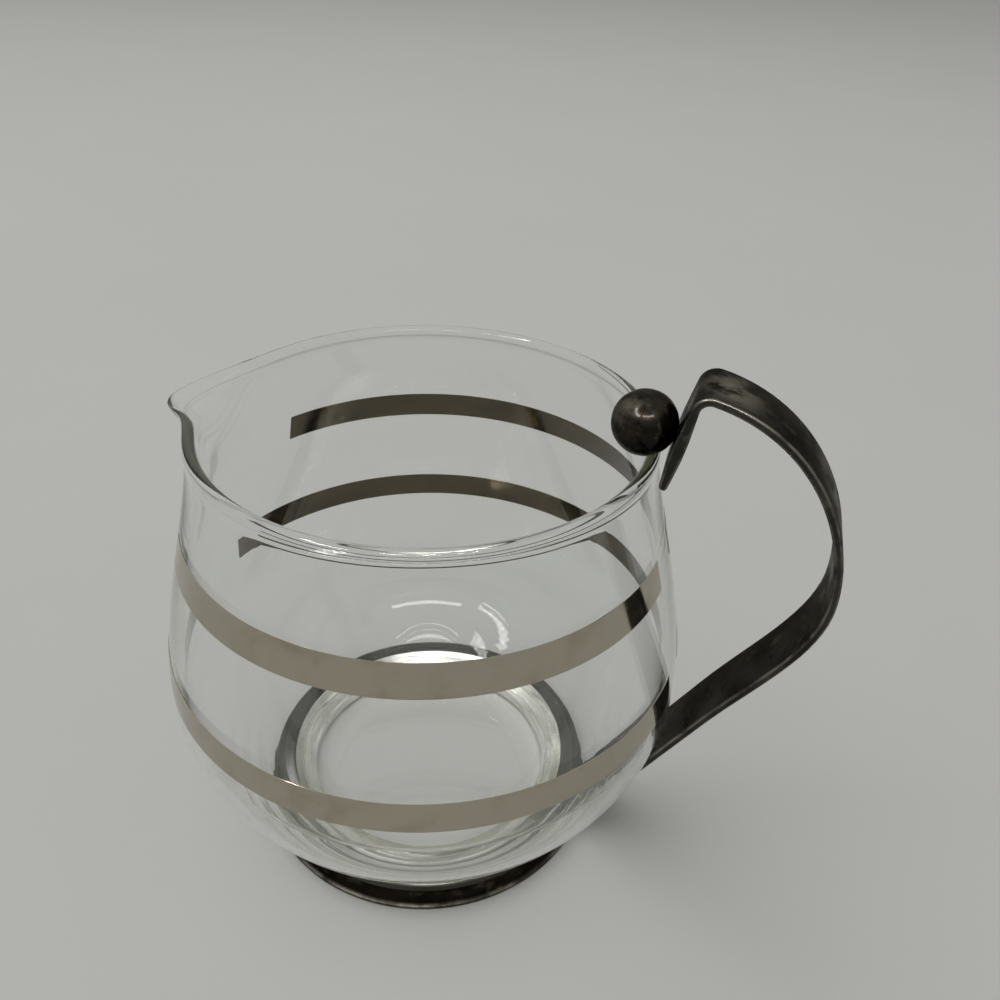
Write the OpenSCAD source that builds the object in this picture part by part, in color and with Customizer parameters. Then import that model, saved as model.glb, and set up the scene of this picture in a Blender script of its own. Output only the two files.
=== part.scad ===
// Cream jug: a blown glass bowl with a pulled lip and silvered half bands,
// held in a metal frame made of a foot ring, a strap handle and a rim ball.
// Millimetres. The origin is the centre of the foot on the table, +Z is up
// and the handle stands towards +X.

/* [Glass bowl] */
// Height of the rim above the table
rim_h = 83.4; // [78:0.1:90]
// Outer radius at the rim
rim_r = 37.7; // [34:0.1:41]
// Thickness of the rounded bead at the rim
rim_wall = 2.1; // [1.8:0.1:2.8]
// Wall thickness at the neck below that bead
neck_wall = 1.5; // [1.2:0.1:1.8]
// Depth of the neck below the middle of the bead
neck_drop = 2.4; // [2:0.1:3]
// Inward lean of the wall at the rim, in degrees
rim_lean = 6.5; // [2:0.5:10]
// Largest outer radius, at the belly
belly_r = 46; // [43:0.5:50]
// Height of the belly above the table
belly_z = 35; // [32:0.5:40]
// Wall thickness at the belly
belly_wall = 1.9; // [1.4:0.1:2.6]
// How far the flat under the bowl lies inside the foot ring's edge
base_in = 12; // [9:0.5:15]
// Height of that flat above the table
base_z = 2; // [1.2:0.1:3]
// Thickness of the glass at the floor of the bowl
floor_t = 3.4; // [2.4:0.1:6]
// How far the flat on the floor inside lies within the flat under the bowl
floor_in = 4; // [3:0.5:8]

/* [Pouring lip] */
// Direction of the lip around the bowl, in degrees
lip_dir = 183; // [175:1:190]
// Reach of the lip beyond the round rim
lip_reach = 8.2; // [5:0.1:10]
// Drop of the lip's tip below the rim
lip_droop = 3; // [0:0.1:5]
// Half width of the lip around the bowl, in degrees
lip_spread = 12.7; // [10:0.1:18]
// Height at which the wall starts to swell into the lip
lip_from = 69; // [66:0.5:73]

/* [Silver bands] */
// Width of each band
band_w = 5.4; // [4:0.1:7]
// Thickness of the fired silver
band_t = 0.15; // [0.1:0.01:0.3]
// Height of the middle of the upper bands
upper_z = 64.6; // [58:0.1:66]
// Height of the middle of the lower bands
lower_z = 42.1; // [38:0.1:48]
// Half gap between the bands below the handle, in degrees
handle_gap = 7; // [3:0.5:15]
// Half gap between the upper bands below the lip, in degrees
upper_lip_gap = 31; // [15:0.5:45]
// Half gap between the lower bands below the lip, in degrees
lower_lip_gap = 12; // [6:0.5:40]

/* [Foot ring] */
// Outer radius of the ring on the table
ring_r = 32.8; // [30:0.1:37]
// Height of the ring
ring_h = 6.2; // [5.2:0.1:7]
// Height of the domed crown of the ring
ring_crown = 1.6; // [1:0.1:2]
// Height of the lip around the ring's lower edge
ring_lip_h = 1; // [0.6:0.1:1.2]
// Reach of that lip beyond the ring's wall
ring_lip = 0.7; // [0.3:0.1:1.2]
// How far the ring's inner flange reaches in under the heel of the bowl
flange_w = 2.1; // [1.5:0.1:4]
// Height of the underside of that flange above the table
flange_z = 0.5; // [0.3:0.1:0.6]

/* [Strap handle] */
// Width of the strap
strap_w = 11; // [8:0.5:14]
// Thickness of the strap
strap_t = 1.3; // [1:0.1:1.6]
// Height at which the strap leaves the foot ring
joint_z = 2.8; // [2.4:0.1:3.2]
// Height of the pad that joins the strap to the ring's wall
pad_h = 3.4; // [2.6:0.1:3.5]
// How far the pad's sides lie within the strap's edges
pad_in = 0.3; // [0.1:0.1:2]
// Length of the straight run up from the foot ring
strap_run = 38; // [32:0.5:42]
// Reach of the handle from the jug's axis
handle_reach = 67.5; // [60:0.5:76]
// Height of the widest point of the handle
grip_z = 65.6; // [62:0.2:70]
// Radius of the top bend, at the middle of the strap
bend_r = 2.2; // [1.6:0.1:3]
// Heading of the strap where the top bend starts, in degrees
bend_heading = 168; // [155:1:175]
// Outward lean of the tail, in degrees
tail_lean = 12; // [8:0.5:16]
// Thickness of the tail beside the ball
tail_t = 1.9; // [1.5:0.1:2.4]
// Thickness of the tail at its rounded tip
tip_t = 1.3; // [0.8:0.1:1.6]
// Length of the tail from the ball up to the top bend
tail_rise = 7; // [5:0.1:9]
// Length of the tail from the ball down to the tip
tail_drop = 7; // [4:0.1:8]

/* [Rim ball] */
// Radius of the ball
ball_r = 5.05; // [4:0.05:6]
// Distance of the ball's centre inside the middle of the rim
ball_in = 1.9; // [1:0.1:3]
// Depth of the flat where the ball seats on the tail
ball_flat = 0.15; // [0.05:0.05:0.4]
// Radius of the pin that holds the ball
pin_r = 0.9; // [0.6:0.1:1.2]
// Depth of the pin in the ball
pin_depth = 4; // [2:0.5:5]

/* [Fits] */
// Clearance between the bowl and its seat in the ring
seat_clear = 0.1; // [0.05:0.05:0.3]
// Clearance between the rim and the ball
rim_clear = 0.15; // [0.05:0.05:0.3]
// Clearance between the belly and the strap
belly_clear = 0.45; // [0.2:0.05:0.7]
// Clearance between the glass and the silver
band_clear = 0.02; // [0.01:0.01:0.05]

/* [Hidden] */
$fn = 96;

// Colours of the materials
glass_colour = [0.86, 0.90, 0.88, 0.4];
silver_colour = [0.66, 0.63, 0.58];
metal_colour = [0.15, 0.13, 0.11];

// Points along the longer curves, the rim and the ends of the strap
curve_steps = 9;
round_steps = 5;

// How far the bead of the rim turns under on both sides, in degrees
bead_turn = 50;

// Spans between the columns of the bowl, fine at the lip and coarse elsewhere
lip_step = 3;
round_step = 6;
lip_half = 45;

// Handle lengths of the curves that shape the bowl
heel_pull = 4;
belly_pull = 17;
shoulder_pull = 16;
neck_pull = 12;
floor_pull = 9;

// Handle lengths of the curves that shape the strap
run_pull = 13;
grip_pull_low = 10;
grip_pull_high = 12.7;
bend_pull = 15;

// Unit vector at an angle, and its left normal
function along(a) = [cos(a), sin(a)];
function left_of(a) = [-sin(a), cos(a)];

// Cubic curve through four control points, without its first point
function bezier(p, t) =
    p[0] * pow(1 - t, 3) + 3 * p[1] * t * pow(1 - t, 2) + 3 * p[2] * t * t * (1 - t) + p[3] * pow(t, 3);
function bezier_slope(p, t) =
    (p[1] - p[0]) * pow(1 - t, 2) + 2 * (p[2] - p[1]) * t * (1 - t) + (p[3] - p[2]) * t * t;
function curve(p, n) = [for (i = [1 : n]) bezier(p, i / n)];
function arc(c, r, from, to, n) = [for (i = [1 : n]) c + r * along(from + (to - from) * i / n)];

// The heel seats in the foot ring, so the flats at the bottom of the bowl
// follow the ring's size
base_r = ring_r - base_in;
floor_r = base_r - floor_in;

// Outline of the bowl as radius and height: heel and shoulder outside to the
// neck, then over the melted bead of the rim, and down inside to the floor
rim_mid = [rim_r - rim_wall / 2, rim_h - rim_wall / 2];
rim_down = -left_of(rim_lean);
neck_mid = rim_mid + rim_down * neck_drop;
neck_out = neck_mid + along(rim_lean) * neck_wall / 2;
neck_in = neck_mid - along(rim_lean) * neck_wall / 2;
belly = [belly_r, belly_z];
belly_in = [belly_r - belly_wall, belly_z];
base_edge = [base_r, base_z];
floor_edge = [floor_r, base_z + floor_t];

heel_curve = [base_edge, base_edge + [heel_pull, 0], belly - [0, belly_pull], belly];
shoulder_curve = [belly, belly + [0, shoulder_pull], neck_out + rim_down * neck_pull, neck_out];
inner_shoulder = [neck_in, neck_in + rim_down * neck_pull, belly_in + [0, shoulder_pull], belly_in];
inner_heel = [belly_in, belly_in - [0, belly_pull], floor_edge + [floor_pull, 0], floor_edge];

outside = concat([base_edge], curve(heel_curve, curve_steps), curve(shoulder_curve, curve_steps));
inside = concat([neck_in], curve(inner_shoulder, curve_steps), curve(inner_heel, curve_steps));
rim_round = arc(rim_mid, rim_wall / 2, rim_lean - bead_turn, 180 + rim_lean + bead_turn, 2 * round_steps);
bowl_outline = concat(outside, rim_round, inside);

// Outer radius of the round bowl at a height
function bowl_r(z) = lookup(z, [for (p = outside) [p[1], p[0]]]);

// The lip is pulled out of the round rim: most at its own direction, fading
// to both sides, and growing from nothing at the height where it starts
function turn_from_lip(a) = (a - lip_dir + 540) % 360 - 180;
function lip_share(a, z) =
    exp(-pow(turn_from_lip(a) / lip_spread, 2)) * pow(max(0, (z - lip_from) / (rim_h - lip_from)), 2);
function on_bowl(p, a) =
    let (share = lip_share(a, p[1]), r = p[0] + lip_reach * share)
    [r * cos(a), r * sin(a), p[1] - lip_droop * share];

// Foot ring: its inner edge follows the bowl, so that the heel rests in it
ring_wall_r = ring_r - ring_lip;
crown_z = ring_h - ring_crown;
ring_in_r = bowl_r(crown_z);
crown_mid = (ring_wall_r + ring_in_r) / 2;
crown_half = (ring_wall_r - ring_in_r) / 2;
flange_r = ring_in_r - flange_w;

// Ball: it sits on the rim, a little inside, and seats on the strap's tail
ball_reach = ball_r + rim_wall / 2 + rim_clear;
ball_mid = rim_mid + [-ball_in, sqrt(pow(ball_reach, 2) - pow(ball_in, 2))];
tail_normal = along(-tail_lean);
tail_up = along(90 - tail_lean);
tail_seat = ball_r - ball_flat;
tail_mid = ball_mid + tail_normal * (tail_seat + tail_t / 2);

// Strap: it leaves the ring along the line that just clears the belly
foot_joint = [ring_wall_r, joint_z];
strap_off = belly_clear + strap_t / 2;
strap_lean = min([for (p = outside) let (d = p - foot_joint)
                  if (p[1] > ring_h) atan2(d[1], d[0]) - asin(strap_off / norm(d))]);
run_end = foot_joint + along(strap_lean) * strap_run;
grip = [handle_reach - strap_t / 2, grip_z];
bend_end_heading = 270 - tail_lean;
bend_end = tail_mid + tail_up * tail_rise;
bend_mid = bend_end + left_of(bend_end_heading) * bend_r;
bend_start = bend_mid - left_of(bend_heading) * bend_r;

run_curve = [run_end, run_end + along(strap_lean) * run_pull, grip - [0, grip_pull_low], grip];
bow_curve = [grip, grip + [0, grip_pull_high], bend_start - along(bend_heading) * bend_pull, bend_start];

// Stations along the middle of the strap: place, heading and thickness
function heading(v) = atan2(v[1], v[0]);
function curve_stations(p, n) =
    [for (i = [1 : n]) [bezier(p, i / n), heading(bezier_slope(p, i / n)), strap_t]];
root = foot_joint - along(strap_lean) * strap_t;
tip_mid = tail_mid - tail_up * (tail_drop - tip_t / 2);
strap_stations = concat(
    [[root, strap_lean, strap_t], [run_end, strap_lean, strap_t]],
    curve_stations(run_curve, curve_steps),
    curve_stations(bow_curve, 2 * curve_steps),
    [for (i = [1 : 2 * round_steps])
        let (a = bend_heading + (bend_end_heading - bend_heading) * i / (2 * round_steps))
        [bend_mid - left_of(a) * bend_r, a, strap_t]],
    [[tail_mid + tail_up * pin_r * 2, bend_end_heading, tail_t],
     [tail_mid - tail_up * pin_r * 2, bend_end_heading, tail_t],
     [tip_mid, bend_end_heading, tip_t]]);
strap_outline = concat(
    [for (s = strap_stations) s[0] - left_of(s[1]) * s[2] / 2],
    arc(tip_mid, tip_t / 2, bend_end_heading - 90, bend_end_heading + 90, 2 * round_steps),
    [for (i = [len(strap_stations) - 2 : -1 : 0])
        let (s = strap_stations[i]) s[0] + left_of(s[1]) * s[2] / 2]);

// Half of the arc of the ring that the strap's pad covers, in degrees
pad_half = asin((strap_w / 2 - pad_in) / (ring_wall_r + strap_t));

// Columns of the bowl, in degrees
columns = concat(
    [for (d = [-lip_half : lip_step : lip_half]) lip_dir + d],
    [for (d = [lip_half + round_step : round_step : 360 - lip_half - round_step / 2]) lip_dir + d]);

// Blown bowl with its pulled lip, lofted column by column around the axis
module glass_bowl() {
    rows = len(bowl_outline);
    count = len(columns);
    points = concat(
        [for (a = columns) for (p = bowl_outline) on_bowl(p, a)],
        [[0, 0, base_z], [0, 0, base_z + floor_t]]);
    function at(c, i) = (c % count) * rows + i;
    under = rows * count;
    faces = concat(
        [for (c = [0 : count - 1]) for (i = [0 : rows - 2]) [at(c, i), at(c, i + 1), at(c + 1, i + 1)]],
        [for (c = [0 : count - 1]) for (i = [0 : rows - 2]) [at(c, i), at(c + 1, i + 1), at(c + 1, i)]],
        [for (c = [0 : count - 1]) [under, at(c, 0), at(c + 1, 0)]],
        [for (c = [0 : count - 1]) [under + 1, at(c + 1, rows - 1), at(c, rows - 1)]]);
    color(glass_colour) polyhedron(points, faces);
}

// One half band of silver at a height, turned through an arc of the bowl
module band(z, from, to) {
    low = z - band_w / 2;
    high = z + band_w / 2;
    between = [for (p = outside) if (p[1] > low && p[1] < high) p];
    under = [for (p = concat([[bowl_r(low), low]], between, [[bowl_r(high), high]])) p + [band_clear, 0]];
    over = [for (i = [len(under) - 1 : -1 : 0]) under[i] + [band_t, 0]];
    color(silver_colour) rotate([0, 0, from]) rotate_extrude(angle = to - from) polygon(concat(under, over));
}

// Left and right are as seen by a hand that holds the jug by its handle
module upper_band_left() { band(upper_z, lip_dir + upper_lip_gap, 360 - handle_gap); }
module upper_band_right() { band(upper_z, handle_gap, lip_dir - upper_lip_gap); }
module lower_band_left() { band(lower_z, lip_dir + lower_lip_gap, 360 - handle_gap); }
module lower_band_right() { band(lower_z, handle_gap, lip_dir - lower_lip_gap); }

// Outside of the heel of the bowl as a solid, lowered by the seat's clearance
module heel_form() {
    heel = concat([base_edge], curve(heel_curve, curve_steps));
    translate([0, 0, -seat_clear]) rotate_extrude() polygon(concat([[0, base_z]], heel, [[0, belly_z]]));
}

// Ring with a lipped lower edge, a domed crown, and a seat for the heel that
// runs on as a flange under the bowl, just above the table
module foot_ring() {
    crown = [for (i = [0 : 2 * round_steps]) let (a = 180 * i / (2 * round_steps))
             [crown_mid + crown_half * cos(a), crown_z + ring_crown * sin(a)]];
    flange = [[flange_r, crown_z], [flange_r, flange_z], [ring_in_r, flange_z]];
    lower = [[ring_in_r, 0], [ring_r, 0], [ring_r, ring_lip_h / 2], [ring_wall_r, ring_lip_h]];
    color(metal_colour) difference() {
        rotate_extrude() polygon(concat(flange, lower, crown));
        heel_form();
    }
}

// Bore along the ball's pin, from a depth in the ball to beyond the tail
module on_ball_axis() {
    translate([ball_mid[0], 0, ball_mid[1]]) rotate([0, 90 + tail_lean, 0]) children();
}
module pin_shape(top) {
    on_ball_axis() translate([0, 0, tail_seat - pin_depth]) cylinder(h = pin_depth + top, r = pin_r);
}

// Pad at the foot of the strap, rolled to the ring's wall and soldered to it
module strap_pad() {
    rotate([0, 0, -pad_half]) rotate_extrude(angle = 2 * pad_half)
        translate([ring_wall_r - strap_t, crown_z - pad_h]) square([2 * strap_t, pad_h]);
}

// Bent strap with its pad, coped to the ring, and a hole for the ball's pin
module strap_handle() {
    color(metal_colour) difference() {
        union() {
            strap_pad();
            rotate([90, 0, 0]) translate([0, 0, -strap_w / 2]) linear_extrude(strap_w) polygon(strap_outline);
        }
        translate([0, 0, -ring_h]) cylinder(h = 3 * ring_h, r = ring_wall_r);
        pin_shape(2 * tail_t);
    }
}

// Ball with a flat where it seats on the tail and a blind hole for the pin
module rim_ball() {
    color(metal_colour) difference() {
        translate([ball_mid[0], 0, ball_mid[1]]) sphere(r = ball_r);
        on_ball_axis() translate([0, 0, tail_seat]) cylinder(h = ball_r, r = ball_r);
        pin_shape(ball_r);
    }
}

// Pin through the tail into the ball, flush with the outside of the tail
module ball_pin() {
    color(metal_colour) pin_shape(tail_t);
}

glass_bowl();
upper_band_left();
upper_band_right();
lower_band_left();
lower_band_right();
foot_ring();
strap_handle();
rim_ball();
ball_pin();
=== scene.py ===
# %% [markdown]
# # A glass cream jug in a blackened metal frame
# The jug is a blown bowl with a pulled lip and four half bands of fired silver. It stands in a frame of
# blackened metal: a foot ring, one bent strap and a ball over the rim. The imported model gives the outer
# sizes, finer ones are named where they are first needed, and each step makes one piece or finish.

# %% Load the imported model
import math

import bmesh
import bpy
from mathutils import Matrix, Vector, noise
from mathutils.geometry import interpolate_bezier


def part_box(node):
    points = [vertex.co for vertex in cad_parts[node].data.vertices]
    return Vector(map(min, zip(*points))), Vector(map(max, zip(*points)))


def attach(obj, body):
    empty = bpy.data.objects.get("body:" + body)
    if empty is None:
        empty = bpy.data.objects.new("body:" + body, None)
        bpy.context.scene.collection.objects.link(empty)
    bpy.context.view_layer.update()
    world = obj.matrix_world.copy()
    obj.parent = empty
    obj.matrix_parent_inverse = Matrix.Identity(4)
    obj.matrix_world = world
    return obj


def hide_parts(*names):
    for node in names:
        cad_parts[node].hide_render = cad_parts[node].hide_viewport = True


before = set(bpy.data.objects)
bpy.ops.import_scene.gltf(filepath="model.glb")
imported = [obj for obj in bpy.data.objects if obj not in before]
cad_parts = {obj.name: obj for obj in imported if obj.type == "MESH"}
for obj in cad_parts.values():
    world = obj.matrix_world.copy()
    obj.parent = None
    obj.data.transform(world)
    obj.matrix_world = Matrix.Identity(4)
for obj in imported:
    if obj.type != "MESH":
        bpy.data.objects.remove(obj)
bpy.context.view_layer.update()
print("CAD nodes:", sorted(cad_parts))

# %% [markdown]
# ## Outlines
# Everything on this jug is turned about the Z axis or bent from a strap, apart from the ball. So nearly
# everything starts as an outline in the plane of the handle, with X as the radius and Z as the height.
# Blender's own cubic curve gives the long sweeps, and a circle gives the round ends. Degrees are easier to
# read than radians, so the helpers take degrees.

# %% Helpers for outlines
MM = 0.001
UP = Vector((0, 0, 1))


def along(degrees):
    """Unit vector in the plane of the handle, turned up from the X axis."""
    return Vector((math.cos(math.radians(degrees)), 0, math.sin(math.radians(degrees))))


def left_of(degrees):
    """Unit vector a quarter turn to the left of along()."""
    return along(degrees + 90)


def curve(start, start_handle, end_handle, end, steps):
    """Points of a cubic curve, without its first one."""
    return interpolate_bezier(start, start_handle, end_handle, end, steps + 1)[1:]


def arc(middle, radius, start, end, steps):
    """Points of a circle from one angle to another, without the first one."""
    return [middle + along(start + (end - start) * i / steps) * radius for i in range(1, steps + 1)]


def follow(pairs, value):
    """Second number along a line of pairs, where the first one has a value."""
    for (low, low_result), (high, high_result) in zip(pairs, pairs[1:]):
        if low <= value <= high:
            return low_result + (high_result - low_result) * (value - low) / (high - low)


# %% [markdown]
# ## From a bmesh to a piece
# A piece is a mesh object that sits at the origin, with its place in its vertices. One helper closes the
# seams that a spin leaves, turns the faces outwards, shades the mesh smooth up to an angle and hangs it on
# the part's only body. The piece then stands for the CAD node of the same name.

# %% Helper that finishes a piece
MERGE_DISTANCE = 1e-7
ROOT_BODY = "root"


def finish_piece(bm, name, sharp_angle=40):
    """Makes a bmesh an object that replaces the CAD node of its name."""
    bmesh.ops.remove_doubles(bm, verts=bm.verts, dist=MERGE_DISTANCE)
    bmesh.ops.recalc_face_normals(bm, faces=bm.faces)
    cad_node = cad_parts[name]
    cad_node.name = name + "_cad"
    mesh = bpy.data.meshes.new(name)
    bm.to_mesh(mesh)
    bm.free()
    mesh.shade_smooth()
    mesh.set_sharp_from_angle(angle=math.radians(sharp_angle))
    piece = bpy.data.objects.new(name, mesh)
    bpy.context.scene.collection.objects.link(piece)
    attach(piece, ROOT_BODY)
    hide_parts(name)
    print(name, "has", len(mesh.polygons), "faces")
    return piece


# %% [markdown]
# ## The bowl
# The glass is blown, so its outside is one sweep from the flat under the bowl over the belly to the neck.
# The inside follows it at a wall of under two millimetres and ends in a thick floor. A flame has melted the
# rim to a round bead, a little thicker than the neck. A spin of one outline gives all of that at once.

# %% Outline of the bowl
glass_low, glass_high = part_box("glass_bowl")
rim_h = glass_high.z
belly_r = glass_high.y
base_z = glass_low.z
rim_r = 37.7 * MM
rim_wall = 2.1 * MM
rim_lean = 6.5
neck_wall = 1.5 * MM
neck_drop = 2.4 * MM
belly_z = 35 * MM
belly_wall = 1.9 * MM
base_r = 20.8 * MM
floor_r = 16.8 * MM
floor_t = 3.4 * MM
BEAD_START = -50
BEAD_END = 230

rim_mid = Vector((rim_r - rim_wall / 2, 0, rim_h - rim_wall / 2))
rim_down = -left_of(rim_lean)
neck_mid = rim_mid + rim_down * neck_drop
neck_out = neck_mid + along(rim_lean) * neck_wall / 2
neck_in = neck_mid - along(rim_lean) * neck_wall / 2
belly = Vector((belly_r, 0, belly_z))
belly_in = belly - Vector((belly_wall, 0, 0))
base_edge = Vector((base_r, 0, base_z))
floor_edge = Vector((floor_r, 0, base_z + floor_t))

heel_pull = Vector((4 * MM, 0, 0))
floor_pull = Vector((9 * MM, 0, 0))
belly_pull = UP * 17 * MM
shoulder_pull = UP * 16 * MM
neck_pull = rim_down * 12 * MM
WALL_STEPS = 30
HEEL_STEPS = 160
BEAD_STEPS = 24

heel = [base_edge] + curve(base_edge, base_edge + heel_pull, belly - belly_pull, belly, HEEL_STEPS)
shoulder = curve(belly, belly + shoulder_pull, neck_out + neck_pull, neck_out, WALL_STEPS)
bead = arc(rim_mid, rim_wall / 2, rim_lean + BEAD_START, rim_lean + BEAD_END, BEAD_STEPS)
inner_shoulder = curve(neck_in, neck_in + neck_pull, belly_in + shoulder_pull, belly_in, WALL_STEPS)
inner_heel = curve(belly_in, belly_in - belly_pull, floor_edge + floor_pull, floor_edge, HEEL_STEPS)
print("rim", round(rim_h / MM, 1), "mm high, belly", round(belly_r / MM, 1), "mm in radius")

# %% [markdown]
# Blown glass is never quite even. Where the wall thickens into the floor, the cooling glass leaves faint
# rings on the outside, and they break up what is seen through the heel into bright and dark arcs. The height
# of a small wave is worked out for each point of the outline here, and the spun vertices are moved by it
# below, most on the side that faces the viewer.

# %% Faint rings in the heel
ring_wave = 0.11 * MM
ring_spacing = 3.8 * MM
fine_wave_share = 0.4
fine_spacing_share = 0.37
rings_from = 6.5 * MM
rings_to = 25 * MM
rings_rise = 3 * MM
rings_fade = 9 * MM


def clamped(value):
    """Value held between nought and one."""
    return min(1, max(0, value))


def heel_waves(points):
    """Height of the wave at each point of an outline."""
    heights = [0.0]
    walked = 0
    for before, here in zip(points, points[1:]):
        walked += (here - before).length
        rise = clamped((here.z - rings_from) / rings_rise)
        fall = clamped((rings_to - here.z) / rings_fade)
        turns = math.tau * walked / ring_spacing
        wave = math.sin(turns) + fine_wave_share * math.sin(turns / fine_spacing_share)
        heights.append(ring_wave * rise * fall * wave)
    return heights


ring_heights = heel_waves(heel)
print("rings of up to", round(max(ring_heights) / MM, 2), "mm along", len(ring_heights), "points")

# %% [markdown]
# A spin turns the outline into the bowl. A number layer on the outline's vertices carries the wave's height
# round with them, because the spin copies it to every vertex that it makes.

# %% Helpers that spin an outline and measure a direction


def turned(outline, steps, closed=False, waves=()):
    """Bmesh of an outline spun once round the Z axis, with a wave's height kept at its vertices."""
    bm = bmesh.new()
    wave_layer = bm.verts.layers.float.new("wave")
    verts = [bm.verts.new(point) for point in outline]
    for vert, wave in zip(verts, waves):
        vert[wave_layer] = wave
    pairs = list(zip(verts, verts[1:]))
    if closed:
        pairs.append((verts[-1], verts[0]))
    edges = [bm.edges.new(pair) for pair in pairs]
    bmesh.ops.spin(
        bm, geom=verts + edges, cent=(0, 0, 0), axis=UP, angle=math.tau, steps=steps, use_merge=True
    )
    return bm


def bell(place, direction, spread):
    """Share that is one at a direction round the Z axis and fades to both sides, all in degrees."""
    degrees = math.degrees(math.atan2(place.y, place.x))
    turn = (degrees - direction + 540) % 360 - 180
    return math.exp(-((turn / spread) ** 2))


# %% [markdown]
# The lip is pulled out of the soft rim with a tool. It moves the most at its own direction and fades to both
# sides like a bell, and it grows from nothing a little below the rim. Moving the spun vertices by that rule
# keeps the wall and the round rim whole. The rings in the heel are left by the same kind of rule.

# %% Bowl with its rings and its pulled lip
rings_direction = -75
rings_spread = 56
lip_direction = 183
lip_reach = 8.2 * MM
lip_droop = 3 * MM
lip_spread = 12.7
lip_from = 69 * MM
BOWL_STEPS = 180


def leave_rings(bm):
    """Moves the heel's vertices in and out by the wave, most on the viewer's side."""
    wave_layer = bm.verts.layers.float["wave"]
    bmesh.ops.recalc_face_normals(bm, faces=bm.faces)
    bm.normal_update()
    for vert in bm.verts:
        share = bell(vert.co, rings_direction, rings_spread)
        vert.co += vert.normal * vert[wave_layer] * share
    bm.verts.layers.float.remove(wave_layer)


def pull_lip(bm):
    """Moves the top of the bowl out and down at the lip."""
    for vert in bm.verts:
        climb = max(0, (vert.co.z - lip_from) / (rim_h - lip_from))
        share = bell(vert.co, lip_direction, lip_spread) * climb**2
        outward = Vector((vert.co.x, vert.co.y, 0)).normalized()
        vert.co += (outward * lip_reach - UP * lip_droop) * share


axis_low = Vector((0, 0, base_z))
axis_high = Vector((0, 0, base_z + floor_t))
bowl_outside = [axis_low, *heel, *shoulder]
bowl_inside = [neck_in, *inner_shoulder, *inner_heel, axis_high]
bowl_mesh = turned(bowl_outside + bead + bowl_inside, BOWL_STEPS, waves=[0.0, *ring_heights])
leave_rings(bowl_mesh)
pull_lip(bowl_mesh)
glass_bowl = finish_piece(bowl_mesh, "glass_bowl", sharp_angle=180)
# Glass stops a lamp's direct rays in a render, so the clear bowl would darken the table. It casts no shadow.
glass_bowl.visible_shadow = False
glass_bowl.visible_diffuse = False

# %% [markdown]
# ## The silver bands
# Each band is a film that was painted on and fired, so it follows the outside of the glass and ends square.
# A short closed outline is spun only part of the way round. The side that lies on the glass shows dark
# through it, so its faces get a second finish, whose dark colour is partly painted shade.

# %% Half bands
band_w = 5.4 * MM
band_t = 0.1 * MM
band_clear = 0.02 * MM
upper_z = 64.6 * MM
lower_z = 42.1 * MM
handle_gap = 7
upper_lip_gap = 31
lower_lip_gap = 12
BAND_ROWS = 6
DEGREES_PER_STEP = 1.5
FACING_GLASS = -0.5

outside = heel + shoulder
radius_at_height = [(point.z, point.x) for point in outside]


def silver_band(name, middle, start, end):
    """One half band between two directions, with its hidden side marked."""
    heights = [middle + band_w * (row / BAND_ROWS - 0.5) for row in range(BAND_ROWS + 1)]
    under = [Vector((follow(radius_at_height, height) + band_clear, 0, height)) for height in heights]
    over = [point + Vector((band_t, 0, 0)) for point in reversed(under)]
    bm = bmesh.new()
    end_face = bm.faces.new([bm.verts.new(point) for point in under + over])
    bmesh.ops.rotate(bm, verts=bm.verts, matrix=Matrix.Rotation(math.radians(start), 3, "Z"))
    bmesh.ops.spin(
        bm,
        geom=bm.verts[:] + bm.edges[:] + [end_face],
        cent=(0, 0, 0),
        axis=UP,
        angle=math.radians(end - start),
        steps=round((end - start) / DEGREES_PER_STEP),
    )
    band = finish_piece(bm, name)
    for face in band.data.polygons:
        outward = Vector((face.center.x, face.center.y, 0))
        face.material_index = 1 if face.normal.dot(outward) < FACING_GLASS * outward.length else 0
    return band


bands = [
    silver_band("upper_band_left", upper_z, lip_direction + upper_lip_gap, 360 - handle_gap),
    silver_band("upper_band_right", upper_z, handle_gap, lip_direction - upper_lip_gap),
    silver_band("lower_band_left", lower_z, lip_direction + lower_lip_gap, 360 - handle_gap),
    silver_band("lower_band_right", lower_z, handle_gap, lip_direction - lower_lip_gap),
]

# %% [markdown]
# ## The foot ring
# The ring is turned metal with a lipped lower edge and a domed crown. The heel of the bowl rests in it, so
# its seat is the bowl's own heel curve, moved down by a small clearance, and the two fit wherever the curve
# goes. The seat runs on inwards as a thin flange under the heel.

# %% Foot ring
ring_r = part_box("foot_ring")[1].x
ring_h = 6.2 * MM
ring_crown = 1.6 * MM
ring_lip_h = 1 * MM
ring_lip = 0.7 * MM
lip_round = 0.35 * MM
lip_step = 0.1 * MM
lip_fillet = 0.15 * MM
seat_clear = 0.1 * MM
flange_w = 2.1 * MM
flange_z = 0.5 * MM
RING_STEPS = 144
LIP_ROUND_END = 60
LIP_STEPS = 6
CROWN_STEP = 10

crown_z = ring_h - ring_crown
ring_wall_r = ring_r - ring_lip
seat = [point - UP * seat_clear for point in heel]
seat_at_radius = [(point.x, point.z) for point in seat]
ring_in_r = next(point.x for point in seat if point.z > crown_z - seat_clear)
flange_r = ring_in_r - flange_w
crown_mid = (ring_wall_r + ring_in_r) / 2
crown_half = (ring_wall_r - ring_in_r) / 2


def crown_point(degrees):
    """Point of the domed crown, held below the seat."""
    turn = math.radians(degrees)
    point = Vector((crown_mid + crown_half * math.cos(turn), 0, crown_z + ring_crown * math.sin(turn)))
    point.z = min(point.z, follow(seat_at_radius, point.x))
    return point


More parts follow.
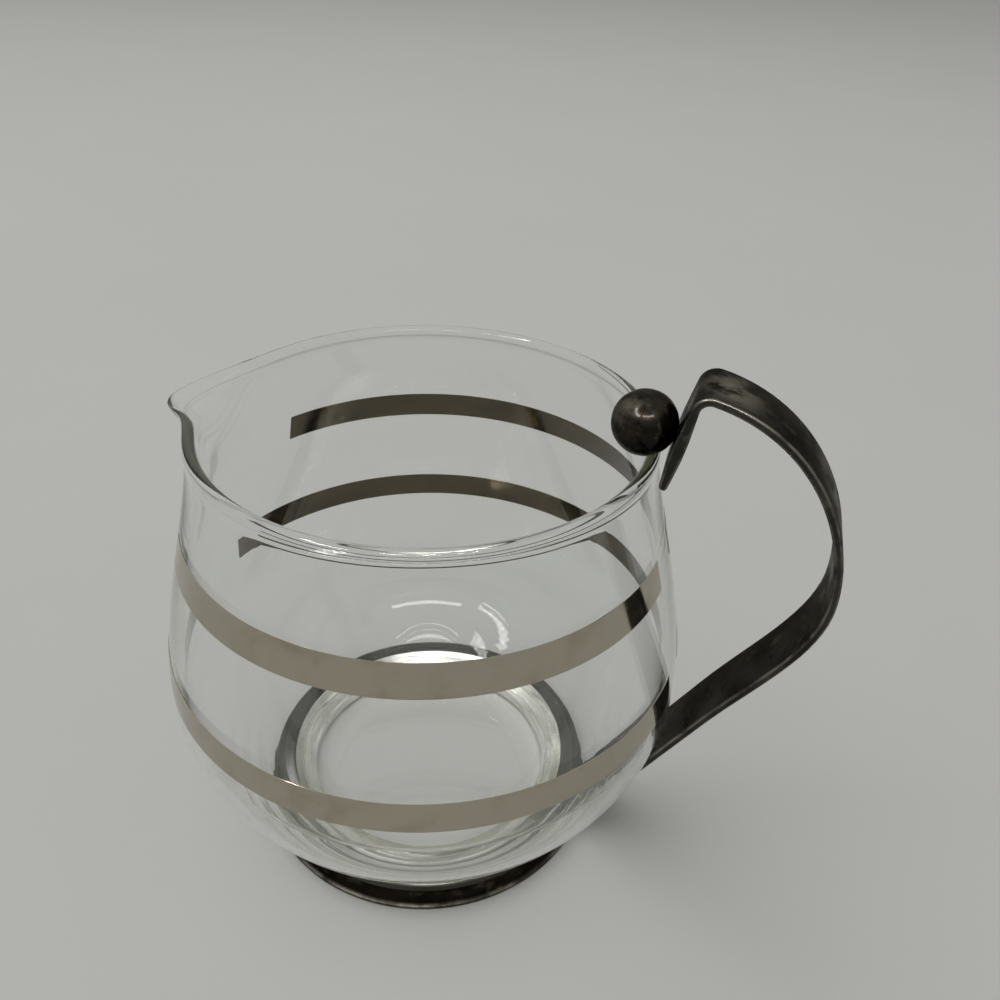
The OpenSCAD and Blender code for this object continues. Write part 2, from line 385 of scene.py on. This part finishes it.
lip_corner = Vector((ring_r - lip_round, 0, lip_round))
ring_outline = (
    [Vector((ring_in_r, 0, 0)), Vector((ring_r - lip_round, 0, 0))]
    + arc(lip_corner, lip_round, -90, LIP_ROUND_END, LIP_STEPS)
    + [Vector((ring_wall_r + lip_step, 0, ring_lip_h)), Vector((ring_wall_r, 0, ring_lip_h + lip_fillet))]
    + [crown_point(degrees) for degrees in range(0, 181, CROWN_STEP)]
    + [point for point in reversed(seat) if flange_r < point.x < ring_in_r]
    + [Vector((flange_r, 0, follow(seat_at_radius, flange_r)))]
    + [Vector((flange_r, 0, flange_z)), Vector((ring_in_r, 0, flange_z))]
)
ring_mesh = turned(ring_outline, RING_STEPS, closed=True)
foot_ring = finish_piece(ring_mesh, "foot_ring", sharp_angle=50)

# %% Faces of the ring that get their own finish
bright_r = 28 * MM
for face in foot_ring.data.polygons:
    if face.center.xy.length < bright_r:
        face.material_index = 1
    elif face.center.z > crown_z:
        face.material_index = 2
print("the bright seat reaches from", round(flange_r / MM, 1), "to", round(bright_r / MM, 1), "mm")

# %% [markdown]
# ## The strap handle
# The handle is one flat bent strap. Its side view is a path with a thickness, so the mesh starts as one
# short edge across the strap at the foot, and that edge is extruded from station to station along the path.
# The sheet that this leaves is extruded once to the strap's width, and a bevel rounds the edges, which on a
# handled strap are never sharp. The path starts at the ring and ends below the seat of the ball.

# %% Rim ball's place and the strap's path
strap_t = 1.3 * MM
joint_z = 2.8 * MM
strap_run = 38 * MM
handle_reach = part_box("strap_handle")[1].x
grip_z = 65.6 * MM
bend_r = 2.2 * MM
bend_heading = 168
tail_lean = 12
tail_t = 1.9 * MM
tip_t = 1.3 * MM
tail_rise = 7 * MM
tail_drop = 7 * MM
ball_r = 5.05 * MM
ball_in = 1.9 * MM
ball_flat = 0.15 * MM
rim_clear = 0.15 * MM
belly_clear = 0.45 * MM
pin_r = 0.9 * MM

ball_reach = ball_r + rim_wall / 2 + rim_clear
ball_mid = rim_mid + Vector((-ball_in, 0, math.sqrt(ball_reach**2 - ball_in**2)))
tail_out = along(-tail_lean)
tail_up = along(90 - tail_lean)
tail_mid = ball_mid + tail_out * (ball_r - ball_flat + tail_t / 2)

foot_joint = Vector((ring_wall_r, 0, joint_z))
strap_off = belly_clear + strap_t / 2


def clearing_angle(point):
    """Slope of the line from the foot joint that passes a point of the bowl at the clearance."""
    away = point - foot_joint
    return math.degrees(math.atan2(away.z, away.x) - math.asin(strap_off / away.length))


strap_lean = min(clearing_angle(point) for point in outside if point.z > ring_h)
run_end = foot_joint + along(strap_lean) * strap_run
grip = Vector((handle_reach - strap_t / 2, 0, grip_z))
tail_heading = 270 - tail_lean
bend_end = tail_mid + tail_up * tail_rise
bend_mid = bend_end + left_of(tail_heading) * bend_r
bend_start = bend_mid - left_of(bend_heading) * bend_r
tip_mid = tail_mid - tail_up * (tail_drop - tip_t / 2)
print("strap leaves the ring at", round(strap_lean, 1), "degrees")

# %% Stations along the strap
run_pull = 13 * MM
grip_low_pull = 10 * MM
grip_high_pull = 12.7 * MM
bend_pull = 15 * MM
seat_half = 2 * pin_r
GRIP_STEPS = 16
BEND_STEPS = 14
TIP_STEPS = 5


def stations_on(points, thickness):
    """Place, heading and thickness at each point of a smooth stretch, apart from its first point."""
    made = []
    for before, here in zip(points, points[1:]):
        step = here - before
        made.append((here, math.degrees(math.atan2(step.z, step.x)), thickness))
    return made


run_handle = run_end + along(strap_lean) * run_pull
low_handle = grip - UP * grip_low_pull
high_handle = grip + UP * grip_high_pull
bend_handle = bend_start - along(bend_heading) * bend_pull
grip_points = [run_end] + curve(run_end, run_handle, low_handle, grip, GRIP_STEPS)
bow_points = [grip] + curve(grip, high_handle, bend_handle, bend_start, 2 * GRIP_STEPS)

stations = [(foot_joint - along(strap_lean) * strap_t, strap_lean, strap_t), (run_end, strap_lean, strap_t)]
stations += stations_on(grip_points, strap_t)
stations += stations_on(bow_points, strap_t)
for i in range(1, BEND_STEPS + 1):
    turn = bend_heading + (tail_heading - bend_heading) * i / BEND_STEPS
    stations.append((bend_mid - left_of(turn) * bend_r, turn, strap_t))
stations.append((tail_mid + tail_up * seat_half, tail_heading, tail_t))
stations.append((tail_mid - tail_up * seat_half, tail_heading, tail_t))
for i in range(TIP_STEPS):
    lean = math.radians(90 * i / TIP_STEPS)
    tip_place = tip_mid - tail_up * tip_t / 2 * math.sin(lean)
    stations.append((tip_place, tail_heading, tip_t * math.cos(lean)))
print(len(stations), "stations along the strap")

# %% Strap
strap_w = 11 * MM
edge_round = 0.4 * MM
EDGE_SEGMENTS = 4
FACING_SIDE = 0.9


def strap_ends(station):
    """The two points on both faces of the strap at a station, on its near edge."""
    place, heading, thickness = station
    middle = place - Vector((0, strap_w / 2, 0))
    return middle - left_of(heading) * thickness / 2, middle + left_of(heading) * thickness / 2


def grow_edge(bm, edge, station):
    """Extrudes the edge across the strap to the next station and gives the new edge."""
    start = edge.verts[0].co.copy()
    grown = bmesh.ops.extrude_edge_only(bm, edges=[edge])["geom"]
    ends = [item for item in grown if isinstance(item, bmesh.types.BMVert)]
    if (ends[0].co - start).length > (ends[1].co - start).length:
        ends.reverse()
    ends[0].co, ends[1].co = strap_ends(station)
    edges = [item for item in grown if isinstance(item, bmesh.types.BMEdge)]
    return next(item for item in edges if set(item.verts) == set(ends))


strap_mesh = bmesh.new()
wear_layer = strap_mesh.verts.layers.float.new("edge_wear")
strap_edge = strap_mesh.edges.new([strap_mesh.verts.new(point) for point in strap_ends(stations[0])])
for station in stations[1:]:
    strap_edge = grow_edge(strap_mesh, strap_edge, station)

grown = bmesh.ops.extrude_face_region(strap_mesh, geom=strap_mesh.faces[:])["geom"]
far_side = [item for item in grown if isinstance(item, bmesh.types.BMVert)]
bmesh.ops.translate(strap_mesh, verts=far_side, vec=Vector((0, strap_w, 0)))
bmesh.ops.recalc_face_normals(strap_mesh, faces=strap_mesh.faces)

side_faces = [face for face in strap_mesh.faces if abs(face.normal.y) > FACING_SIDE]
long_edges = [
    edge for edge in strap_mesh.edges if sum(face in side_faces for face in edge.link_faces) == 1
]
rounded = bmesh.ops.bevel(
    strap_mesh,
    geom=long_edges,
    offset=edge_round,
    offset_type="OFFSET",
    affect="EDGES",
    segments=EDGE_SEGMENTS,
    profile=0.5,
    material=-1,
)["faces"]
for vert in {vert for face in rounded for vert in face.verts}:
    if all(face in rounded for face in vert.link_faces):
        vert[wear_layer] = 1
print(len(long_edges), "long edges rounded")

# %% [markdown]
# At its foot the strap carries a pad that is rolled to the ring's wall and soldered there. A small square,
# spun through the angle that the strap's width covers, makes it in the strap's own mesh.

# %% Pad at the strap's foot
pad_h = 3.4 * MM
pad_in = 0.3 * MM
PAD_STEPS = 12

pad_low = crown_z - pad_h
pad_r = ring_wall_r + strap_t
pad_half = math.asin((strap_w / 2 - pad_in) / pad_r)
pad_corners = [(ring_wall_r, pad_low), (pad_r, pad_low), (pad_r, crown_z), (ring_wall_r, crown_z)]
pad_verts = [strap_mesh.verts.new((radius, 0, height)) for radius, height in pad_corners]
pad_face = strap_mesh.faces.new(pad_verts)
bmesh.ops.rotate(strap_mesh, verts=pad_verts, matrix=Matrix.Rotation(-pad_half, 3, "Z"))
bmesh.ops.spin(
    strap_mesh,
    geom=pad_verts + pad_face.edges[:] + [pad_face],
    cent=(0, 0, 0),
    axis=UP,
    angle=2 * pad_half,
    steps=PAD_STEPS,
)
strap_handle = finish_piece(strap_mesh, "strap_handle", sharp_angle=35)

# %% [markdown]
# ## The rim ball and its pin
# The ball is a turned knob with a small flat where it seats on the tail. A sphere cut by a plane gives that,
# and a little noise gives it the dents of use. Its pin runs through the tail and is peened over on the
# outside, so the pin is a turned outline with a low dome at that end.

# %% Ball
ball_dent = 0.03 * MM
dent_size = 2.5 * MM
BALL_STEPS = 72

ball_mesh = bmesh.new()
bmesh.ops.create_uvsphere(ball_mesh, u_segments=BALL_STEPS, v_segments=BALL_STEPS // 2, radius=ball_r)
for vert in ball_mesh.verts:
    vert.co += vert.co.normalized() * ball_dent * noise.noise(vert.co / dent_size)
bmesh.ops.translate(ball_mesh, verts=ball_mesh.verts, vec=ball_mid)
cut = bmesh.ops.bisect_plane(
    ball_mesh,
    geom=ball_mesh.verts[:] + ball_mesh.edges[:] + ball_mesh.faces[:],
    plane_co=ball_mid + tail_out * (ball_r - ball_flat),
    plane_no=tail_out,
    clear_outer=True,
)["geom_cut"]
bmesh.ops.edgeloop_fill(ball_mesh, edges=[item for item in cut if isinstance(item, bmesh.types.BMEdge)])
rim_ball = finish_piece(ball_mesh, "rim_ball")

# %% Pin of the ball
pin_depth = 4 * MM
pin_dome = 0.12 * MM
dome_share = 0.7
PIN_STEPS = 24

pin_low = ball_r - ball_flat - pin_depth
pin_high = ball_r - ball_flat + tail_t
pin_outline = [
    Vector((0, 0, pin_low)),
    Vector((pin_r, 0, pin_low)),
    Vector((pin_r, 0, pin_high)),
    Vector((pin_r * dome_share, 0, pin_high + pin_dome * dome_share)),
    Vector((0, 0, pin_high + pin_dome)),
]
pin_mesh = turned(pin_outline, PIN_STEPS)
pin_turn = Matrix.Rotation(math.radians(90 + tail_lean), 4, "Y")
bmesh.ops.transform(pin_mesh, matrix=Matrix.Translation(ball_mid) @ pin_turn, verts=pin_mesh.verts)
ball_pin = finish_piece(pin_mesh, "ball_pin")

# %% [markdown]
# ## Finishes
# Every finish is built from nodes on Object coordinates, which are metres in the jug's own frame, so a noise
# of scale 100 has grains of about a centimetre. Short helpers keep the node code readable. A value that is
# the same all over a surface is set on the shader's own socket.

# %% Helpers for materials


def new_finish(name):
    """A material with its node tree and its main shader."""
    material = bpy.data.materials.new(name)
    material.use_nodes = True
    tree = material.node_tree
    return material, tree, tree.nodes["Principled BSDF"]


def fill(tree, node, inputs):
    """Sets a node's inputs to values, or links them to other nodes' outputs."""
    for name, value in inputs.items():
        if isinstance(value, bpy.types.NodeSocket):
            tree.links.new(value, node.inputs[name])
        else:
            node.inputs[name].default_value = value


def add_node(tree, kind, inputs=None, **settings):
    """A node with its settings and its inputs."""
    node = tree.nodes.new(kind)
    for name, value in settings.items():
        setattr(node, name, value)
    fill(tree, node, inputs or {})
    return node


def object_place(tree):
    """The place on the piece, in metres."""
    return add_node(tree, "ShaderNodeTexCoord").outputs["Object"]


def sides_of(tree, vector):
    """The three numbers of a vector, by the names X, Y and Z."""
    return add_node(tree, "ShaderNodeSeparateXYZ", {"Vector": vector}).outputs


# %% Helpers for patterns


def grain(tree, place, scale, detail=4, roughness=0.55):
    """Noise of a scale in grains per metre."""
    values = {"Vector": place, "Scale": scale, "Detail": detail, "Roughness": roughness}
    return add_node(tree, "ShaderNodeTexNoise", values).outputs["Fac"]


def ramp(tree, value, low, high, to_low=0.0, to_high=1.0):
    """Maps a value from one range to another, smoothly and with its ends held."""
    values = {"Value": value, "From Min": low, "From Max": high, "To Min": to_low, "To Max": to_high}
    return add_node(tree, "ShaderNodeMapRange", values, interpolation_type="SMOOTHSTEP").outputs["Result"]


def opaque(colour):
    """A colour with full alpha, or a socket as it is."""
    return colour if isinstance(colour, bpy.types.NodeSocket) else (*colour, 1)


def mixed(tree, share, first, second):
    """Colour between two colours. The mix node's colour sockets are its inputs 6 and 7 and its output 2."""
    inputs = {0: share, 6: opaque(first), 7: opaque(second)}
    return add_node(tree, "ShaderNodeMix", inputs, data_type="RGBA").outputs[2]


def times(tree, first, second):
    """Product of two values."""
    return add_node(tree, "ShaderNodeMath", {0: first, 1: second}, operation="MULTIPLY").outputs[0]


def bumped(tree, height, strength, distance):
    """Surface direction that follows a height."""
    values = {"Height": height, "Strength": strength, "Distance": distance}
    return add_node(tree, "ShaderNodeBump", values).outputs["Normal"]


# %% [markdown]
# The bowl is clear glass, a little grey-green where it is thick. A see-through shader with a flat tint
# would colour the thin wall as much as the thick floor, so the tint is an absorption inside the glass. Faint
# smears vary the roughness, as on any glass that has been handled.

# %% Clear glass
CLEAR = (0.985, 0.99, 0.985)
FAINT_GREEN = (0.97, 0.98, 0.972)
DEPTH_COLOUR = (0.55, 0.56, 0.45, 1)
DEPTH_DENSITY = 16

glass, tree, shader = new_finish("clear_glass")
place = object_place(tree)
fill(tree, shader, {
    "Transmission Weight": 1,
    "IOR": 1.5,
    "Specular Tint": (0.6, 0.6, 0.6, 1),
    "Roughness": ramp(tree, grain(tree, place, 60), 0.5, 0.75, 0.0, 0.03),
    "Base Color": mixed(tree, grain(tree, place, 25), CLEAR, FAINT_GREEN),
})
depth = add_node(tree, "ShaderNodeVolumeAbsorption", {"Color": DEPTH_COLOUR, "Density": DEPTH_DENSITY})
fill(tree, tree.nodes["Material Output"], {"Volume": depth.outputs["Volume"]})
glass_bowl.data.materials.append(glass)
print("glass absorbs at a density of", DEPTH_DENSITY)

# %% [markdown]
# Fired silver is a mirror, a little warm, with faint stains. The side that lies on the glass looks dark
# olive through it, and its colour is partly painted shade, far darker than a silver mirror, standing in for
# the dim room that it mirrors. One function makes both sides from their colours.

# %% Fired silver, outside and against the glass


def silver_finish(name, bright, dull, edge_tint):
    """Mirror film with faint stains."""
    material, tree, shader = new_finish(name)
    place = object_place(tree)
    stain = ramp(tree, grain(tree, place, 140, detail=6), 0.5, 0.75)
    fill(tree, shader, {
        "Base Color": mixed(tree, stain, bright, dull),
        "Roughness": ramp(tree, grain(tree, place, 400), 0.35, 0.75, 0.05, 0.16),
        "Metallic": 1,
        "Specular Tint": edge_tint,
    })
    return material


SILVER = (0.44, 0.405, 0.325)
STAINED_SILVER = (0.37, 0.325, 0.25)
# Partly painted shade: the back's dark olive is far darker than the silver mirror it is.
OLIVE_BACK_WITH_SHADE = (0.080, 0.058, 0.022)
DARK_BACK_WITH_SHADE = (0.016, 0.011, 0.005)
silver_face = silver_finish("fired_silver_face", SILVER, STAINED_SILVER, (1, 1, 1, 1))
shaded_silver_back = silver_finish("fired_silver_back", OLIVE_BACK_WITH_SHADE, DARK_BACK_WITH_SHADE, (0.35, 0.30, 0.22, 1))
for band in bands:
    band.data.materials.append(silver_face)
    band.data.materials.append(shaded_silver_back)
print(len(bands), "bands have a bright face and a dark back")

# %% [markdown]
# The frame is plated metal that has tarnished nearly black. It is darkest in clouds, with brown between them
# and small paler specks, and hands have worn it on the edges and low on the strap. At the top bend a pale
# patch is worn plate and also a painted highlight, where the light from above falls on the crest. Layers of
# noise give the tones, and masks say where the wear and the highlight are. A dark tint at grazing angles
# keeps the metal dark at its outlines, where a plain metal would turn white.

# %% Helper for blackened metal
BARE_EDGE = (0.19, 0.175, 0.145)
SPECK_SHARE = 0.6


def wear_and_highlight_spot(tree, place, middle, radius):
    """Mask that is one at a point and fades to nothing at a distance."""
    away = add_node(tree, "ShaderNodeVectorMath", {0: place, 1: middle}, operation="DISTANCE")
    return ramp(tree, away.outputs["Value"], radius, 0)


def blackened(name, tones, edge_mask=None, wear_and_highlight_patches=(), cloud_scale=130):
    """Tarnished plate in three tones, with pale patches where a mask or a patch is given: bright wear, and
    at the strap's top bend also a painted highlight.
    """
    material, tree, shader = new_finish(name)
    place = object_place(tree)
    dark, brown, spots = tones
    clouds = ramp(tree, grain(tree, place, cloud_scale, detail=5), 0.40, 0.64)
    specks = ramp(tree, grain(tree, place, 380, detail=6, roughness=0.65), 0.54, 0.70)
    colour = mixed(tree, clouds, dark, brown)
    colour = mixed(tree, times(tree, specks, SPECK_SHARE), colour, spots)
    for middle, radius, wear_and_highlight_colour in wear_and_highlight_patches:
        blotches = ramp(tree, grain(tree, place, 330, detail=5), 0.35, 0.6)
        wear_and_highlight_share = times(tree, wear_and_highlight_spot(tree, place, middle, radius), blotches)
        colour = mixed(tree, wear_and_highlight_share, colour, wear_and_highlight_colour)
    if edge_mask:
        patchy = ramp(tree, grain(tree, place, 260, detail=5), 0.30, 0.62, 0.1, 1.0)
        colour = mixed(tree, times(tree, edge_mask(tree, place), patchy), colour, BARE_EDGE)
    fill(tree, shader, {
        "Base Color": colour,
        "Roughness": ramp(tree, grain(tree, place, 300, detail=5), 0.3, 0.7, 0.24, 0.46),
        "Normal": bumped(tree, grain(tree, place, 900, detail=5), 0.12, 0.2 * MM),
        "Metallic": 1,
        "Specular Tint": (0.45, 0.44, 0.42, 1),
    })
    return material


# %% Blackened metal of the strap, the ring and the ball
STRAP_TONES = [(0.030, 0.030, 0.029), (0.056, 0.054, 0.048), (0.125, 0.115, 0.085)]
RING_TONES = [(0.009, 0.008, 0.006), (0.022, 0.018, 0.013), (0.08, 0.07, 0.05)]
BALL_TONES = [(0.005, 0.004, 0.003), (0.020, 0.015, 0.0095), (0.12, 0.105, 0.08)]
# The pale colour at the top bend is worn plate and also a painted highlight from the light above.
BEND_WEAR_AND_HIGHLIGHT = (0.27, 0.255, 0.205)
BARE_RUN = (0.16, 0.15, 0.115)
BARE_BALL = (0.12, 0.105, 0.078)


def rounded_edges(tree, place):
    """Mask of the strap's rounded edges."""
    return add_node(tree, "ShaderNodeAttribute", attribute_name="edge_wear").outputs["Fac"]


def lower_lip(tree, place):
    """Mask of the lip around the ring's lower edge."""
    return ramp(tree, sides_of(tree, place)["Z"], 1.1 * MM, 0.6 * MM, 0.0, 0.7)


# Partly a painted highlight: the patch at the top bend lies where the light from above falls on the crest.
top_bend = bend_start - along(bend_heading) * 2 * MM
low_run = foot_joint + along(strap_lean) * 16 * MM
ball_side = ball_mid + Vector((-0.55, -0.45, 0.7)) * ball_r
strap_wear_and_highlight = [(top_bend, 7 * MM, BEND_WEAR_AND_HIGHLIGHT), (low_run, 7 * MM, BARE_RUN)]
ball_wear = [(ball_side, 6 * MM, BARE_BALL)]
strap_metal = blackened("blackened_strap", STRAP_TONES, rounded_edges, strap_wear_and_highlight)
ring_metal = blackened("blackened_ring", RING_TONES, lower_lip)
ball_metal = blackened("blackened_ball", BALL_TONES, wear_and_highlight_patches=ball_wear, cloud_scale=270)
ball_shader = ball_metal.node_tree.nodes["Principled BSDF"]
fill(ball_metal.node_tree, ball_shader, {"Coat Weight": 0.22, "Coat Roughness": 0.13})
strap_handle.data.materials.append(strap_metal)
foot_ring.data.materials.append(ring_metal)
rim_ball.data.materials.append(ball_metal)
ball_pin.data.materials.append(ball_metal)
print("strap, ring, ball and pin are blackened")

# %% [markdown]
# The seat under the heel is shut off from the air, so it has kept its bright plate, with the streaks that
# turning and polishing leave. They run round the ring, so the noise is stretched: its first coordinate is
# the radius, in fine steps, and the other two change slowly, which lets each streak fade in and out as it
# goes round. The crown beside it is grey, with a painted reflection: on the side that faces the viewer it
# is bright plate, which makes the front of the heel look pale.

# %% Streaks round the ring
FINE_STEPS = 620
SLOW_STEPS = 32


def flat_radius(tree, place):
    """Distance from the Z axis."""
    flat = add_node(tree, "ShaderNodeVectorMath", {0: place, 1: (1, 1, 0)}, operation="MULTIPLY")
    away = add_node(tree, "ShaderNodeVectorMath", {0: flat.outputs["Vector"]}, operation="LENGTH")
    return away.outputs["Value"]


def ring_streaks(tree, place):
    """Noise in long streaks round the Z axis."""
    sides = sides_of(tree, place)
    values = {
        "X": times(tree, flat_radius(tree, place), FINE_STEPS),
        "Y": times(tree, sides["X"], SLOW_STEPS),
        "Z": times(tree, sides["Y"], SLOW_STEPS),
    }
    stretched = add_node(tree, "ShaderNodeCombineXYZ", values).outputs["Vector"]
    return ramp(tree, grain(tree, stretched, 1, detail=3, roughness=0.6), 0.36, 0.62)


# %% Bright seat and grey crown of the ring
BRIGHT_PLATE = (0.97, 0.96, 0.93)
DULL_PLATE = (0.60, 0.59, 0.55)
DARK_STREAK = (0.16, 0.155, 0.14)
GREY_PLATE = (0.085, 0.082, 0.072)
DARK_GREY_PLATE = (0.045, 0.042, 0.035)
# Painted reflection: the crown's front inner edge is made bright plate, so the front of the heel looks pale.
painted_reflection_from_y = -10 * MM
painted_reflection_to_y = -24 * MM
painted_reflection_from_r = 31.5 * MM
painted_reflection_to_r = 30.5 * MM

seat_plate, tree, shader = new_finish("bright_seat")
streaks = ring_streaks(tree, object_place(tree))
fill(tree, shader, {
    "Base Color": mixed(tree, streaks, DULL_PLATE, BRIGHT_PLATE),
    "Roughness": ramp(tree, streaks, 0, 1, 0.30, 0.12),
    "Normal": bumped(tree, streaks, 0.3, 0.1 * MM),
    "Metallic": 1,
})
foot_ring.data.materials.append(seat_plate)

crown_plate, tree, shader = new_finish("grey_crown")
place = object_place(tree)
streaks = ring_streaks(tree, place)
grey = mixed(tree, streaks, DARK_GREY_PLATE, GREY_PLATE)
# Painted reflection: bright streaked plate where the crown faces the viewer.
bright = mixed(tree, ramp(tree, streaks, 0.25, 0.65), DARK_STREAK, BRIGHT_PLATE)
painted_reflection_side = ramp(tree, sides_of(tree, place)["Y"], painted_reflection_from_y, painted_reflection_to_y)
inner = ramp(tree, flat_radius(tree, place), painted_reflection_from_r, painted_reflection_to_r)
fill(tree, shader, {
    "Base Color": mixed(tree, times(tree, painted_reflection_side, inner), grey, bright),
    "Roughness": ramp(tree, streaks, 0, 1, 0.30, 0.14),
    "Metallic": 1,
})
foot_ring.data.materials.append(crown_plate)
print("the ring has", len(foot_ring.data.materials), "finishes")

# %% [markdown]
# ## Floor, light and camera
# The jug stands on a plain pale table, one large square that runs on as its own background. Its finish is
# matt, so that it shows the jug's shadow and no mirror image.

# %% Table
TABLE_HALF = 6
TABLE_GREY = (0.42, 0.42, 0.405)
TABLE_PALE = (0.45, 0.45, 0.435)

table_mesh = bpy.data.meshes.new("table")
bm = bmesh.new()
bmesh.ops.create_grid(bm, x_segments=1, y_segments=1, size=TABLE_HALF)
bm.to_mesh(table_mesh)
bm.free()
table = bpy.data.objects.new("table", table_mesh)
bpy.context.scene.collection.objects.link(table)
pale, tree, shader = new_finish("pale_table")
fill(tree, shader, {
    "Base Color": mixed(tree, grain(tree, object_place(tree), 6), TABLE_GREY, TABLE_PALE),
    "Roughness": 0.7,
    "Specular IOR Level": 0.1,
})
table_mesh.materials.append(pale)
print("table", 2 * TABLE_HALF, "metres wide")

# %% [markdown]
# A room that is darker at the horizon than overhead gives glass and metal something to mirror, and one wide
# soft lamp above lights the jug and draws its shadow.

# %% Soft room and soft lamp
HORIZON = (0.32, 0.32, 0.31)
OVERHEAD = (0.60, 0.60, 0.59)
OVERHEAD_FROM = 0.7
SOFT_PLACE = (-0.4, 0.05, 1.7)
SOFT_SIZE = 2.0
SOFT_WATTS = 19.5
jug_middle = Vector((0, 0, 0.045))

world = bpy.data.worlds.new("soft_room")
bpy.context.scene.world = world
world.use_nodes = True
sky = world.node_tree
upward = add_node(sky, "ShaderNodeTexCoord").outputs["Generated"]
room = mixed(sky, ramp(sky, sides_of(sky, upward)["Z"], 0.0, OVERHEAD_FROM), HORIZON, OVERHEAD)
fill(sky, sky.nodes["Background"], {"Color": room})


def area_lamp(name, place, width, depth, watts):
    """A rectangular lamp that faces the middle of the jug."""
    lamp = bpy.data.lights.new(name, "AREA")
    lamp.shape = "RECTANGLE"
    lamp.size = width
    lamp.size_y = depth
    lamp.energy = watts
    lamp_object = bpy.data.objects.new(name, lamp)
    facing = (jug_middle - Vector(place)).to_track_quat("-Z", "Y")
    lamp_object.matrix_world = Matrix.Translation(place) @ facing.to_matrix().to_4x4()
    bpy.context.scene.collection.objects.link(lamp_object)
    return lamp_object


soft_lamp = area_lamp("soft_above", SOFT_PLACE, SOFT_SIZE, SOFT_SIZE, SOFT_WATTS)
soft_lamp.visible_glossy = False
soft_lamp.visible_transmission = False
print("soft lamp of", SOFT_WATTS, "watts")

# %% [markdown]
# Two rows of small lamps stand on the viewer's side, a level one and one that climbs to the left. Together
# they draw the bright outline of a window in the back wall of the bowl. They are hidden from diffuse light,
# so that they show in glass and metal and leave the table as it is.

# %% Window lamps
LAMP_DISTANCE = 0.75
STRIP_DIRECTIONS = (-88, -75, -62, -49)
STRIP_ELEVATION = 48
STRIP_WIDTH = 0.116
STRIP_DEPTH = 0.03
STRIP_WATTS = 0.66
SIDE_LAMPS = 8
SIDE_START = -110
SIDE_SWEEP = 36
SIDE_LOW = 45
SIDE_CLIMB = 12
SIDE_BEND = 1.8
SIDE_SIZE = 0.06
SIDE_WATTS = 0.37


def from_jug(direction, elevation):
    """Place at the lamps' distance from the middle of the jug."""
    flat = math.cos(math.radians(elevation)) * LAMP_DISTANCE
    x = flat * math.cos(math.radians(direction))
    y = flat * math.sin(math.radians(direction))
    return jug_middle + Vector((x, y, math.sin(math.radians(elevation)) * LAMP_DISTANCE))


window_lamps = []
for direction in STRIP_DIRECTIONS:
    strip_place = from_jug(direction, STRIP_ELEVATION)
    window_lamps.append(area_lamp("strip_lamp", strip_place, STRIP_WIDTH, STRIP_DEPTH, STRIP_WATTS))
for i in range(SIDE_LAMPS):
    share = i / (SIDE_LAMPS - 1)
    side_place = from_jug(SIDE_START - SIDE_SWEEP * share, SIDE_LOW + SIDE_CLIMB * share**SIDE_BEND)
    window_lamps.append(area_lamp("side_lamp", side_place, SIDE_SIZE, SIDE_SIZE, SIDE_WATTS))
for lamp in window_lamps:
    lamp.visible_diffuse = False
print(len(window_lamps), "window lamps")

# %% [markdown]
# The camera stands where the photograph was taken from: close, from above, with the handle to the right. Its
# place and direction are in the jug's own frame, and its lens is the one that the picture's perspective asks
# for. Light passes many walls of glass on its way, so it is followed for more bounces than usual.

# %% Camera
camera_place = Vector((45.58, -122.07, 152.17)) * MM
forward = Vector((-0.2167, 0.8088, -0.5466)).normalized()
roll = math.radians(2.34)
LENS = 32.8
SENSOR_WIDTH = 36
CLIP_START = 0.005
GLASS_BOUNCES = 64

level_right = forward.cross(UP).normalized()
level_up = level_right.cross(forward)
camera_right = level_right * math.cos(roll) + level_up * math.sin(roll)
camera_up = level_up * math.cos(roll) - level_right * math.sin(roll)

camera_data = bpy.data.cameras.new("photo_camera")
camera_data.lens = LENS
camera_data.sensor_width = SENSOR_WIDTH
camera_data.clip_start = CLIP_START
camera = bpy.data.objects.new("photo_camera", camera_data)
axes = Matrix((camera_right, camera_up, -forward)).transposed().to_4x4()
camera.matrix_world = Matrix.Translation(camera_place) @ axes
scene = bpy.context.scene
scene.collection.objects.link(camera)
scene.camera = camera
scene.view_settings.view_transform = "Standard"
scene.cycles.max_bounces = GLASS_BOUNCES
scene.cycles.transmission_bounces = GLASS_BOUNCES
scene.cycles.glossy_bounces = GLASS_BOUNCES
print("camera", round(camera_place.length / MM), "mm from the foot")
